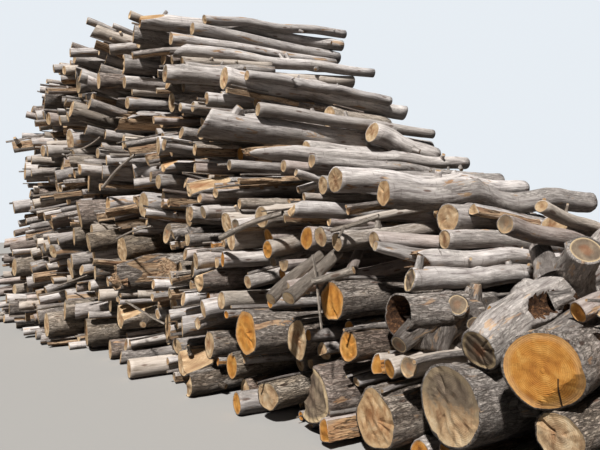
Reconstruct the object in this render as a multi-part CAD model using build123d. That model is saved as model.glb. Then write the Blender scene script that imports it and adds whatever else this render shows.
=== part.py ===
from build123d import *
import math
import os
import random

import numpy as np

# A heap of firewood logs: unbarked trunks, limbs and split pieces, laid roughly side by side on bare
# ground, with a steep far end, a crest and a long slope down to the heavy trunks at the near end.
# X runs along the sawn-end face from the far end to the near end, Y runs into the heap along the
# logs, and Z is up. Millimetres. The origin is on the ground under the middle of the heap.

# Outline of the heap: places along its middle line, and the height of its top there. A steep far end,
# a level crest, and a slope that steps down over the long logs to the trunks at the near toe.
FAR_END = ((-1300, 0), (-550, 1300), (-350, 3550))
CREST = ((500, 4200), (2900, 4280), (3200, 4120))
SLOPE = ((3420, 3900), (3500, 3520), (4300, 3360), (4360, 2980), (4680, 2900), (4750, 2480), (5300, 2300))
NEAR_END = ((6650, 2000), (6750, 1550), (7900, 1500), (8300, 1100), (8900, 0))
OUTLINE = FAR_END + CREST + SLOPE + NEAR_END

# Depth of the heap: its sawn-end face leans back as it rises, less so at the far end, and its logs run
# through to the rear.
FACE_TOE = -250
FACE_LEAN, FAR_FACE_LEAN = 0.19, 0.09
DEPTH = 2900

# Where people stand to look at the heap: the chosen logs stay in view from here.
ONLOOKER = (8870, -3200, 1600)

# How the logs lie.
COMMON_YAW = 14
YAW_SPREAD = 4
STEEPEST_PITCH = 14
SEAT_GAP = 0.3
TOUCHING = 1.2
MISFIT = 45
UNEVEN = 140

# Small wood lies at the far end of the face and ever heavier wood between these two places along it.
HEAVIER_FROM = 2200
HEAVIEST_FROM = 6400
# How far the sawn ends stand behind or before the face, at the far end and from this place on.
RAGGED_ENDS = (-260, 200)
EVEN_ENDS = (-80, 220)
EVEN_FROM = 3200
BOWED_SHARE = 0.22
SET_BACKS = (0, 250, 550, 900, 1300)
ROLL_REACH = 130
ROLL_TRIES = 5
SEED = 11

# Steps of the work that sets logs down: along a log while looking for its seat, and while trimming it.
COARSE_STEP = 90
FINE_STEP = 12
COLUMN = 60
BANDS = (0.1, 0.3, 0.5, 0.7, 0.9)
SPAN_RISE = 0.15
SIGHT_STEP = 180


def face_line(x, z):
    """Where the sawn ends stand, on average, at a place along the face and a height."""
    return FACE_TOE + float(np.interp(x, (500, 3000), (FAR_FACE_LEAN, FACE_LEAN))) * z


class Branch:
    """An arm or a cut-off stub: where it leaves the log, which way it points, and its size."""

    def __init__(self, along, length, root, tip, lean, turn):
        self.along, self.length, self.root, self.tip = along, length, root / 2, tip / 2
        self.lean, self.turn = math.radians(lean), math.radians(turn)

    def ends(self):
        """Root and tip in the log's own frame. Lean is the angle from the log's rear end, and turn
        runs round the log from its left side over its top."""
        across = math.sin(self.lean) * self.length
        tip = (self.along + math.cos(self.lean) * self.length,
               across * math.cos(self.turn), across * math.sin(self.turn))
        return np.array([(self.along, 0, 0), tip], float)


class Slice:
    """A flat cut or split face near an end: it runs from one point, along and out from the heart, to
    another, on the side of the log that turn gives, and what lies outside it is gone."""

    def __init__(self, along, out, to_along, to_out, turn):
        self.along, self.out, self.to_along, self.to_out = along, out, to_along, to_out
        self.turn = math.radians(turn)


class Log:
    """One round piece along its own +X: a straight taper, or an arc of one thickness if it is bowed."""

    def __init__(self, length, front, rear=None, bow=0.0, bow_turn=0.0, branches=(), slices=()):
        self.length, self.front, self.rear = length, front / 2, (rear or front) / 2
        self.bow, self.bow_turn = bow, math.radians(bow_turn)
        self.branches, self.slices = branches, slices
        self.name = None

    def radius(self, share):
        return self.front + (self.rear - self.front) * share

    def arc(self):
        """Radius of the arc that a bowed heart follows, and half of the angle that it spans."""
        radius = (self.length ** 2 / 4 + self.bow ** 2) / (2 * self.bow)
        return radius, math.asin(self.length / 2 / radius)

    def heart(self, count):
        """Points of the heart with their radii, from the front end to the rear end."""
        shares = np.linspace(0, 1, count)
        along, rise = shares * self.length, 0 * shares
        if self.bow:
            radius, half = self.arc()
            turned = (2 * shares - 1) * half
            along, rise = self.length / 2 + radius * np.sin(turned), radius * np.cos(turned) - radius + self.bow
        points = np.stack([along, rise * math.cos(self.bow_turn), rise * math.sin(self.bow_turn)], 1)
        return points, self.radius(shares)

    def balance(self):
        """How far along the log its weight is centred."""
        shares = np.linspace(0, 1, 21)
        weights = self.radius(shares) ** 2
        return float((shares * weights).sum() / weights.sum()) * self.length

    def place(self, x, y, z, yaw, pitch):
        """Stands the log's front end at a point, turned by its yaw from +Y towards +X."""
        along = math.radians(90 - yaw)
        level = np.array([math.cos(along), math.sin(along), 0])
        side = np.array([-math.sin(along), math.cos(along), 0])
        up = np.array([0, 0, 1])
        rise = math.radians(pitch)
        forward = level * math.cos(rise) + up * math.sin(rise)
        upward = up * math.cos(rise) - level * math.sin(rise)
        self.axes = np.stack([forward, side, upward])
        self.origin = np.array([x, y, z], float)

    def world(self, points):
        return self.origin + points @ self.axes

    def stations(self, step):
        """Points along the placed heart and branches at a step, with radii, and how far along each is."""
        count = max(3, int(self.length / step) + 2)
        points, radii = self.heart(count)
        for branch in self.branches:
            shares = np.linspace(0, 1, max(3, int(branch.length / step) + 2))[:, None]
            root, tip = branch.ends()
            points = np.concatenate([points, root + (tip - root) * shares])
            radii = np.concatenate([radii, branch.root + (branch.tip - branch.root) * shares[:, 0]])
        return self.world(points), radii, points[:, 0]

    def spans(self):
        """The placed heart and branches as straight spans, and which of their ends are sawn flat."""
        points, radii = self.heart(1 + math.ceil(math.sqrt(self.bow / SPAN_RISE)) if self.bow else 2)
        starts, ends, start_r, end_r = points[:-1], points[1:], radii[:-1], radii[1:]
        first = np.zeros(len(starts), bool)
        last = first.copy()
        first[0] = last[-1] = True
        for branch in self.branches:
            root, tip = branch.ends()
            starts, ends = np.vstack([starts, root]), np.vstack([ends, tip])
            start_r, end_r = np.append(start_r, branch.root), np.append(end_r, branch.tip)
            first, last = np.append(first, False), np.append(last, True)
        return self.world(starts), self.world(ends), start_r, end_r, first, last


class Pile:
    """The logs set down so far, kept as one table of straight spans."""

    def __init__(self):
        self.logs = []
        self.owner = np.zeros(0, int)
        self.start = self.end = np.zeros((0, 3))
        self.start_r = self.end_r = np.zeros(0)
        self.first = self.last = np.zeros(0, bool)
        self.low = self.high = np.zeros((0, 3))
        self.fine = []

    def add(self, log):
        a, b, ra, rb, first, last = log.spans()
        reach = np.maximum(ra, rb)[:, None]
        self.owner = np.concatenate([self.owner, np.full(len(a), len(self.logs))])
        self.start, self.end = np.concatenate([self.start, a]), np.concatenate([self.end, b])
        self.start_r, self.end_r = np.concatenate([self.start_r, ra]), np.concatenate([self.end_r, rb])
        self.first, self.last = np.concatenate([self.first, first]), np.concatenate([self.last, last])
        self.low = np.concatenate([self.low, np.minimum(a, b) - reach])
        self.high = np.concatenate([self.high, np.maximum(a, b) + reach])
        self.fine.append(log.stations(FINE_STEP))
        self.logs.append(log)

    def near(self, low, high):
        """Numbers of the spans whose boxes reach into a box."""
        return np.nonzero(np.all((self.low <= high) & (self.high >= low), axis=1))[0]


def seat_heights(points, radii, pile, spans):
    """Lowest height for a ball of each radius, over each plan point, that clears the ground and the spans."""
    heights = radii.copy()
    if len(spans) == 0:
        return heights
    a, b = pile.start[spans], pile.end[spans]
    run = b[:, :2] - a[:, :2]
    length = np.linalg.norm(run, axis=1)
    along = run / length[:, None]
    rise = (b[:, 2] - a[:, 2]) / length
    offset = points[:, None, :2] - a[None, :, :2]
    t = (offset * along).sum(2)
    across = np.abs(offset[:, :, 0] * along[:, 1] - offset[:, :, 1] * along[:, 0])
    over = np.maximum(np.maximum(-t, t - length), 0)
    inside = np.clip(t, 0, length)
    share = inside / length
    radius = pile.start_r[spans] * (1 - share) + pile.end_r[spans] * share
    ball = radii[:, None]
    reach = radius + np.sqrt(np.maximum(ball ** 2 - over ** 2, 0))
    lift = reach ** 2 - across ** 2
    touching = (lift > 0) & (over < ball)
    slope = np.sqrt(1 + rise ** 2)
    wanted = a[:, 2] + rise * inside + np.sqrt(np.maximum(lift, 0)) * slope
    return np.maximum(heights, np.where(touching, wanted, 0).max(axis=1))


def resting_line(along, heights, balance, steepest):
    """The line that lies on the heights at two places, one on each side of the balance point."""
    hull = []
    for point in sorted(zip(along, heights)):
        while len(hull) > 1:
            (x0, y0), (x1, y1) = hull[-2:]
            if (y1 - y0) * (point[0] - x0) <= (point[1] - y0) * (x1 - x0):
                hull.pop()
            else:
                break
        hull.append(point)
    slope = 0.0
    for (x0, y0), (x1, y1) in zip(hull, hull[1:]):
        if x0 <= balance <= x1 and x1 > x0:
            slope = max(-steepest, min(steepest, (y1 - y0) / (x1 - x0)))
            break
    start = max(h - slope * s for s, h in zip(along, heights))
    return start, slope


def surface_gaps(points, radii, a, b, ra, rb, first, last):
    """Gap from each ball to each flat-ended span."""
    run = b - a
    length = np.linalg.norm(run, axis=1)
    along = run / length[:, None]
    offset = points[:, None, :] - a[None, :, :]
    t = (offset * along).sum(2)
    across = np.sqrt(np.maximum((offset ** 2).sum(2) - t ** 2, 0))
    inside = np.clip(t, 0, length)
    share = inside / length
    radius = ra * (1 - share) + rb * share
    over = np.abs(t - inside)
    flat = np.where(t < 0, first, last)
    rim = np.where(flat, np.maximum(across - radius, 0), across)
    beyond = np.sqrt(over ** 2 + rim ** 2) - np.where(flat, 0, radius)
    return np.where(over > 0, beyond, across - radius) - radii[:, None]


def end_gaps(log, pile, balance):
    """Smallest gap between the log and the pile or ground, on its front half and on its rear half.

    Each pair is measured as balls along one log against the flat-ended other, both ways round. Both
    are at most the true gap, so the larger of them is used."""
    points, radii, along = log.stations(FINE_STEP)
    a, b, ra, rb, first, last = log.spans()
    margin = 40
    near = pile.near(points.min(0) - radii.max() - margin, points.max(0) + radii.max() + margin)
    above_ground = points[:, 2] - radii
    halves = [above_ground[along <= balance].min(), above_ground[along > balance].min()]
    forward = log.axes[0]
    for owner in np.unique(pile.owner[near]):
        mine = near[pile.owner[near] == owner]
        one = surface_gaps(points, radii, pile.start[mine], pile.end[mine], pile.start_r[mine],
                           pile.end_r[mine], pile.first[mine], pile.last[mine]).min(axis=1)
        if one.min() > margin:
            continue
        their_points, their_radii, _ = pile.fine[owner]
        close = np.all((their_points > points.min(0) - their_radii[:, None] - radii.max() - margin)
                       & (their_points < points.max(0) + their_radii[:, None] + radii.max() + margin), axis=1)
        if not close.any():
            continue
        other = surface_gaps(their_points[close], their_radii[close], a, b, ra, rb, first, last).min(axis=1)
        their_along = (their_points[close] - log.origin) @ forward
        for half, (ours, theirs) in enumerate(((along <= balance, their_along <= balance),
                                               (along > balance, their_along > balance))):
            mine_gap = one[ours].min() if ours.any() else math.inf
            their_gap = other[theirs].min() if theirs.any() else math.inf
            halves[half] = min(halves[half], max(mine_gap, their_gap))
    return halves


def seat(log, pile, x, y, yaw, steepest, roll=0.0):
    """Where a log comes to rest when lowered over a plan place: its front height and its slope."""
    log.place(x, y, 0, yaw, 0)
    points, radii, along = log.stations(COARSE_STEP)
    points = points + log.axes[1] * roll
    near = pile.near(points.min(0) - [radii.max(), radii.max(), 0], points.max(0) + [radii.max(), radii.max(), 1e6])
    heights = seat_heights(points, radii, pile, near) - log.world(np.zeros((1, 3)))[0, 2] - (points[:, 2] - points[0, 2])
    return resting_line(along, heights, log.balance(), math.tan(math.radians(steepest)))


def lies_on_ground(log):
    """Whether both ends of a placed log touch the ground."""
    points, radii, _ = log.stations(COARSE_STEP)
    clear = points[:, 2] - radii
    half = len(clear) // 2
    return max(clear[:half].min(), clear[half:].min()) < 2


def slide_home(log, pile, reach):
    """Slides a log that lies on the ground sideways until it touches the nearest log in reach."""
    x, y, z = log.origin
    side, yaw = log.axes[1], 90 - math.degrees(math.atan2(log.axes[0][1], log.axes[0][0]))
    pitch = math.degrees(math.asin(log.axes[0][2]))
    moved = 0
    for _ in range(12):
        points, radii, _ = log.stations(FINE_STEP)
        near = pile.near(points.min(0) - reach - radii.max(), points.max(0) + reach + radii.max())
        closest, towards = math.inf, 0
        for owner in np.unique(pile.owner[near]):
            mine = near[pile.owner[near] == owner]
            one = surface_gaps(points, radii, pile.start[mine], pile.end[mine], pile.start_r[mine],
                               pile.end_r[mine], pile.first[mine], pile.last[mine])
            their_points, their_radii, _ = pile.fine[owner]
            other = surface_gaps(their_points, their_radii, *log.spans())
            if max(one.min(), other.min()) < closest:
                closest = max(one.min(), other.min())
                ours = points[np.unravel_index(one.argmin(), one.shape)[0]]
                theirs = their_points[np.linalg.norm(their_points - ours, axis=1).argmin()]
                towards = np.sign((theirs - ours) @ side)
        gap = closest - SEAT_GAP
        if gap < 0.05 or moved + gap > reach:
            break
        moved += gap
        x, y = x + side[0] * towards * gap, y + side[1] * towards * gap
        log.place(x, y, z, yaw, pitch)
    return x, y


def met_by(log, pile):
    """The logs, and the ground as -1, that the bark of a log's trunk truly meets."""
    points, radii = log.heart(int(log.length / FINE_STEP) + 2)
    turns = np.linspace(0, 2 * math.pi, 48, endpoint=False)
    round_about = np.cos(turns)[:, None] * log.axes[1] + np.sin(turns)[:, None] * log.axes[2]
    skin = (log.world(points)[:, None, :] + radii[:, None, None] * round_about[None, :, :]).reshape(-1, 3)
    near = pile.near(skin.min(0) - TOUCHING, skin.max(0) + TOUCHING)
    gaps = surface_gaps(skin, np.zeros(len(skin)), pile.start[near], pile.end[near], pile.start_r[near],
                        pile.end_r[near], pile.first[near], pile.last[near])
    met = set(pile.owner[near[gaps.min(axis=0) < TOUCHING]])
    return met | {-1} if skin[:, 2].min() < TOUCHING else met


def held_up(pile):
    """The logs that the ground carries through their barks. One that only leans on another's end falls."""
    meetings = {-1: set()}
    for number, log in enumerate(pile.logs):
        for other in met_by(log, pile) - {number}:
            meetings.setdefault(number, set()).add(other)
            meetings.setdefault(other, set()).add(number)
    held, waiting = set(), [-1]
    while waiting:
        number = waiting.pop()
        if number not in held:
            held.add(number)
            waiting.extend(meetings[number])
    return [log for number, log in enumerate(pile.logs) if number in held]


def set_down(log, pile, x, y, yaw, rolls=ROLL_TRIES, steepest=STEEPEST_PITCH, slide=400):
    """Lowers a log over a plan place of its front end, lets it roll a little to the lowest groove near
    by, and trims its height and pitch until both of its halves touch."""
    balance = log.balance()
    best = None
    for roll in (np.linspace(-1, 1, rolls) * ROLL_REACH if rolls > 1 else [0.0]):
        start, slope = seat(log, pile, x, y, yaw, steepest, roll)
        level = start + slope * balance + 0.15 * abs(roll)
        if best is None or level < best[0]:
            best = (level, roll, start, slope)
    _, roll, start, slope = best
    side = log.axes[1]
    x, y = x + side[0] * roll, y + side[1] * roll
    steepest = math.tan(math.radians(steepest))
    for _ in range(12):
        log.place(x, y, start, yaw, math.degrees(math.atan(slope)))
        front_gap, rear_gap = end_gaps(log, pile, balance)
        front_gap, rear_gap = front_gap - SEAT_GAP, rear_gap - SEAT_GAP
        if abs(front_gap) < 0.1 and abs(rear_gap) < 0.1:
            break
        front_gap, rear_gap = (max(-60, min(60, g)) for g in (front_gap, rear_gap))
        quarter, three_quarters = 0.5 * balance, 0.5 * (balance + log.length)
        turn = (front_gap - rear_gap) / (three_quarters - quarter)
        start -= front_gap + turn * quarter
        slope = max(-steepest, min(steepest, slope + turn))
    if lies_on_ground(log):
        x, y = slide_home(log, pile, slide)
    for _ in range(120):
        log.place(x, y, start, yaw, math.degrees(math.atan(slope)))
        gap = min(end_gaps(log, pile, balance)) - SEAT_GAP
        if abs(gap) < 0.05:
            break
        start -= gap
    return log


class Surface:
    """Height of the pile's top in columns that run into the heap at the common yaw, and bands of depth."""

    def __init__(self):
        self.columns = np.arange(OUTLINE[0][0] - 300, OUTLINE[-1][0] + 300, COLUMN) + COLUMN / 2
        self.depths = np.array([FACE_TOE + share * DEPTH for share in BANDS])
        self.height = np.zeros((len(BANDS), len(self.columns)))
        self.done = np.zeros(len(self.columns), bool)
        self.outline = np.interp(self.columns, *np.transpose(OUTLINE))

    def cover(self, log):
        points, radii, _ = log.stations(COLUMN / 2)
        shift = (points[:, 1] - self.depths[2]) * math.tan(math.radians(COMMON_YAW))
        for band, depth in enumerate(self.depths):
            for index in np.nonzero(np.abs(points[:, 1] - depth) < COLUMN / 2)[0]:
                x, z, r = points[index, 0] - shift[index], points[index, 2], radii[index]
                across = np.abs(self.columns - x)
                top = z + np.sqrt(np.maximum(r * r - across ** 2, 0))
                self.height[band] = np.where(across < r, np.maximum(self.height[band], top), self.height[band])

    def lowest(self):
        """The lowest column that isn't full yet, or None."""
        level = self.height.mean(axis=0)
        level = np.convolve(np.pad(level, 1, mode="edge"), (0.25, 0.5, 0.25), mode="valid")
        open_columns = np.nonzero((self.outline - level > 110) & ~self.done)[0]
        if len(open_columns) == 0:
            return None
        return open_columns[level[open_columns].argmin()]

    def close(self, log):
        """Marks the columns along a log as full."""
        points, radii, _ = log.stations(COLUMN)
        middle = points[len(points) // 2]
        x = middle[0] - (middle[1] - self.depths[2]) * math.tan(math.radians(COMMON_YAW))
        self.done |= np.abs(self.columns - x) < radii.max()


class Chosen:
    """A log with a place of its own: its front end, the height of its heart there, its yaw and pitch.
    The bare length of it, from its front end, stays in view from the near end of the face."""

    def __init__(self, name, x, y, level, yaw, log, pitch=1.0, top=False, bare=400, steepest=STEEPEST_PITCH):
        self.name, self.x, self.y, self.level, self.yaw, self.bare = name, x, y, level, yaw, bare
        self.log, self.rise, self.top = log, math.tan(math.radians(pitch)), top
        self.steepest = max(steepest, pitch + 2)
        self.log.name = name
        self.base = max(0, level - self.log.radius(0))
        self.log.place(x, y, level, yaw, pitch)

    def sights(self):
        """Points on its bare length that a filler may not hide."""
        along = np.arange(0, min(self.bare, self.log.length) + 1, SIGHT_STEP)
        centres = np.stack([along, 0 * along, 0 * along], 1)
        middle = self.log.world(centres)
        radius = np.array([self.log.radius(a / self.log.length) for a in along])[:, None]
        return np.concatenate([middle + [0, 0, 0.6] * radius, middle - [0, 0, 0.5] * radius])


def chosen_logs():
    """The logs that give the heap its look, from the crest down to the trunks at the near toe."""
    return [
        # Crest and upper slope: long logs that stand out from the face.
        Chosen("crest_log", 2510, 250, 4240, 19, Log(3000, 230, 160,
               branches=(Branch(260, 170, 60, 45, 60, 95),)), top=True, bare=1500),
        Chosen(None, 2900, 900, 4330, 13, Log(2300, 125), top=True, bare=2300),
        Chosen(None, 2950, 750, 4150, 12, Log(2350, 180), bare=2300),
        Chosen(None, 2910, 460, 4020, 14, Log(2500, 180, 150), bare=1600),
        Chosen("pointed_log", 3030, 430, 3830, 20, Log(2950, 180, 130,
               slices=(Slice(0, -90, 230, 90, 60),)), top=True, bare=2950),
        Chosen("bowed_log", 3340, 90, 3390, 15, Log(3100, 215, bow=75, bow_turn=90), top=True, bare=3100),
        Chosen("slope_log", 4010, 460, 3230, 13.4, Log(2650, 250, 190), top=True, bare=2650),
        Chosen(None, 4150, 600, 3160, 12, Log(2100, 125, bow=25, bow_turn=70), bare=900),
        Chosen(None, 3320, 380, 3300, 12, Log(2400, 140), bare=500),
        Chosen(None, 4060, 430, 3040, 12, Log(2300, 100)),
        Chosen(None, 3600, 320, 2980, 13, Log(2500, 140), bare=800),
        Chosen(None, 4330, 600, 2900, 16, Log(2500, 155, 120), top=True, bare=2300),
        Chosen("great_log", 4200, 20, 2700, 15, Log(3250, 330, 240,
               slices=(Slice(0, -165, 190, 165, 60),)), bare=3250),
        Chosen("torn_log", 4620, 200, 2380, 16, Log(3000, 190, 150,
               slices=(Slice(0, 20, 620, 95, 100), Slice(0, -30, 300, -95, 100))), bare=2000),
        Chosen(None, 5130, 570, 2220, 14, Log(2400, 140)),
        # Middle of the face.
        Chosen("tan_end_log", 5630, 440, 2050, 14, Log(2600, 240, 190), top=True, bare=2600),
        Chosen("round_end_log", 6190, 460, 1880, 24, Log(2300, 230, 200), top=True, bare=1800),
        Chosen(None, 5480, 80, 1740, 15, Log(2500, 165, slices=(Slice(0, 10, 130, 85, 70),)), bare=1500),
        Chosen(None, 3710, 190, 2290, 20, Log(2300, 135, bow=60, bow_turn=200), bare=500),
        Chosen(None, 4250, 280, 2260, 14, Log(2400, 125), bare=600),
        Chosen(None, 3800, 220, 2470, 12, Log(2400, 155), bare=500),
        Chosen(None, 5040, 360, 2150, 14, Log(2400, 125)),
        Chosen(None, 4390, 130, 1980, 13, Log(2500, 175, bow=30, bow_turn=60), bare=900),
        Chosen(None, 3880, 40, 2040, 15, Log(2400, 250, slices=(Slice(0, -20, 500, 125, 120),)), bare=600),
        Chosen("low_fork", 6700, 220, 1440, 15, Log(2350, 180, 110,
               branches=(Branch(300, 520, 120, 85, 163, 40),),
               slices=(Slice(0, -90, 150, 30, 250), Slice(0, 0, 150, 90, 200))), top=True, bare=2300,
               steepest=4),
        Chosen("stubbed_log", 6560, 90, 1270, 14, Log(2500, 180, 150,
               branches=(Branch(110, 180, 80, 50, 80, 95),),
               slices=(Slice(0, -90, 90, 90, 40),)), bare=1500),
        Chosen(None, 6280, 140, 1500, 14, Log(2400, 155)),
        Chosen("forked_trunk", 7390, -90, 850, 13, Log(1900, 270, 310,
               branches=(Branch(1050, 360, 260, 230, 105, 130), Branch(850, 620, 220, 160, 40, 15))),
               pitch=22, top=True, bare=1900),
        # Trunks at the near toe, and the butts above them.
        Chosen("orange_butt", 7740, -230, 860, -3, Log(1700, 445, 400,
               slices=(Slice(0, 110, 150, 215, 225),))),
        Chosen("weathered_butt", 7200, -180, 510, 12, Log(1500, 500, 440)),
        Chosen(None, 7930, -170, 480, 10, Log(2300, 270)),
        Chosen(None, 7750, -60, 190, 12, Log(2300, 350)),
        Chosen("knotted_trunk", 6640, 20, 900, 16, Log(1300, 300, 270,
               branches=(Branch(330, 430, 210, 140, 150, 250), Branch(560, 260, 190, 160, 130, 155),
                         Branch(720, 290, 150, 120, 130, 195), Branch(600, 210, 80, 60, 80, 110))), bare=800),
        Chosen("shaded_butt", 6080, -60, 1000, 13, Log(2400, 310, 270), bare=900),
        Chosen("low_butt", 6240, -110, 720, 13, Log(2400, 230, 210), bare=500),
        Chosen(None, 5740, -60, 710, 14, Log(2400, 330)),
        Chosen(None, 5950, -30, 610, 14, Log(2300, 165)),
        Chosen("split_trunk", 6070, -190, 320, 12, Log(2300, 470, 400,
               slices=(Slice(0, 60, 420, 235, 20),)), bare=700),
        Chosen("toe_trunk", 6640, -200, 250, 14, Log(2300, 420, 380), bare=500),
        Chosen("crossed_fork", 5940, -330, 1130, 12, Log(2200, 130, 110,
               branches=(Branch(620, 330, 100, 80, 45, 60),)), bare=1500),
        Chosen(None, 5370, -70, 940, 15, Log(2400, 125), bare=500),
        Chosen(None, 5380, 0, 1300, 14, Log(2400, 185)),
        Chosen("face_butt", 5230, -260, 720, 13, Log(2400, 400, 340), bare=700),
        Chosen(None, 4820, -180, 910, 13, Log(2400, 185), bare=700),
        Chosen(None, 4620, -100, 1300, 14, Log(2400, 165)),
        Chosen(None, 4310, -140, 1120, 13, Log(2400, 260, slices=(Slice(0, 40, 350, 130, 80),))),
        Chosen(None, 4410, -30, 1180, 14, Log(2400, 150)),
        # Far part of the face.
        Chosen("split_block", 1950, 180, 3030, 15, Log(2400, 380, 300,
               slices=(Slice(0, -60, 330, 190, 70),)), bare=500),
        Chosen(None, 2060, 320, 3260, 13, Log(2400, 180)),
        Chosen(None, 2770, 320, 2990, 14, Log(2400, 120)),
        Chosen(None, 1900, 330, 3840, 17, Log(2500, 280, slices=(Slice(0, 30, 260, 140, 30),)), bare=500),
        Chosen(None, 3260, 200, 2340, 14, Log(2400, 220, slices=(Slice(0, 0, 380, 110, 110),))),
        Chosen("cleft_block", 2700, -240, 1100, 14, Log(2400, 460, 380,
               slices=(Slice(0, 40, 700, 230, 60), Slice(0, 100, 300, 230, 190))), bare=600),
        Chosen(None, 2060, -210, 240, 14, Log(2400, 370)),
        Chosen(None, 2690, -150, 550, 13, Log(2400, 330, slices=(Slice(0, 60, 420, 165, 120),))),
        # Foot of the face.
        Chosen(None, 4590, -160, 460, 12, Log(2400, 265), bare=600),
        Chosen(None, 3940, -180, 360, 13, Log(2400, 185)),
        Chosen(None, 2930, -230, 90, 14, Log(2400, 155)),
        Chosen(None, 3550, -440, 120, 16, Log(2400, 215, bow=25, bow_turn=0), bare=500),
        Chosen(None, 4210, -210, 210, 13, Log(2400, 265, slices=(Slice(0, 20, 400, 132, 150),))),
        Chosen(None, 4520, -340, 130, 12, Log(2400, 245, slices=(Slice(0, 10, 300, 122, 20),)), bare=700),
        Chosen(None, 5020, -180, 340, 13, Log(2400, 235), bare=700),
        Chosen(None, 5660, -310, 220, 12, Log(2400, 235)),
        Chosen(None, 5250, -330, 110, 18, Log(2300, 205)),
    ]


def filler_diameter(x, room, dice):
    """Thickness of a log of the kind that lies at a place: small wood at the far end, heavier wood nearer."""
    nearness = min(1, max(0, (x - HEAVIER_FROM) / (HEAVIEST_FROM - HEAVIER_FROM)))
    share = dice.random()
    small = dice.uniform(95, 160)
    middling = dice.uniform(150, 240)
    heavy = dice.uniform(240, 380)
    if share < 0.50 - 0.38 * nearness:
        diameter = small
    elif share < 0.93 - 0.25 * nearness:
        diameter = middling
    else:
        diameter = heavy
    return max(80, min(diameter, room * 0.8))


def crossing(log, other):
    """Heights of a placed log's top where it lies over or beside another in plan, and how far along the
    other those places are."""
    points, radii, _ = log.stations(COARSE_STEP)
    theirs, their_radii, along = other.stations(COARSE_STEP)
    apart = np.linalg.norm(points[:, None, :2] - theirs[None, :, :2], axis=2)
    ours, others = np.nonzero(apart < (radii[:, None] + their_radii[None, :]) * 0.8)
    return points[ours, 2] + radii[ours], along[others]


def hides(log, sights):
    """Whether a placed log stands between the onlooker and any of the points."""
    eye = np.array(ONLOOKER, float)
    starts, ends, start_r, end_r, _, _ = log.spans()
    for a, b, r in zip(starts, ends, np.maximum(start_r, end_r)):
        ray, run, gap = eye - sights, b - a, sights - a
        rr, rs, ss = (ray ** 2).sum(1), ray @ run, run @ run
        gr, gs = (gap * ray).sum(1), gap @ run
        below = np.maximum(rr * ss - rs ** 2, 1e-9)
        along_ray = np.clip((rs * gs - gr * ss) / below, 0, 1)
        along_run = np.clip((gs + along_ray * rs) / ss, 0, 1)
        along_ray = np.clip((along_run * rs - gr) / rr, 0, 1)
        apart = np.linalg.norm(gap + ray * along_ray[:, None] - run * along_run[:, None], axis=1)
        if ((apart < r * 0.9) & (along_ray * np.sqrt(rr) > 30)).any():
            return True
    return False


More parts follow.
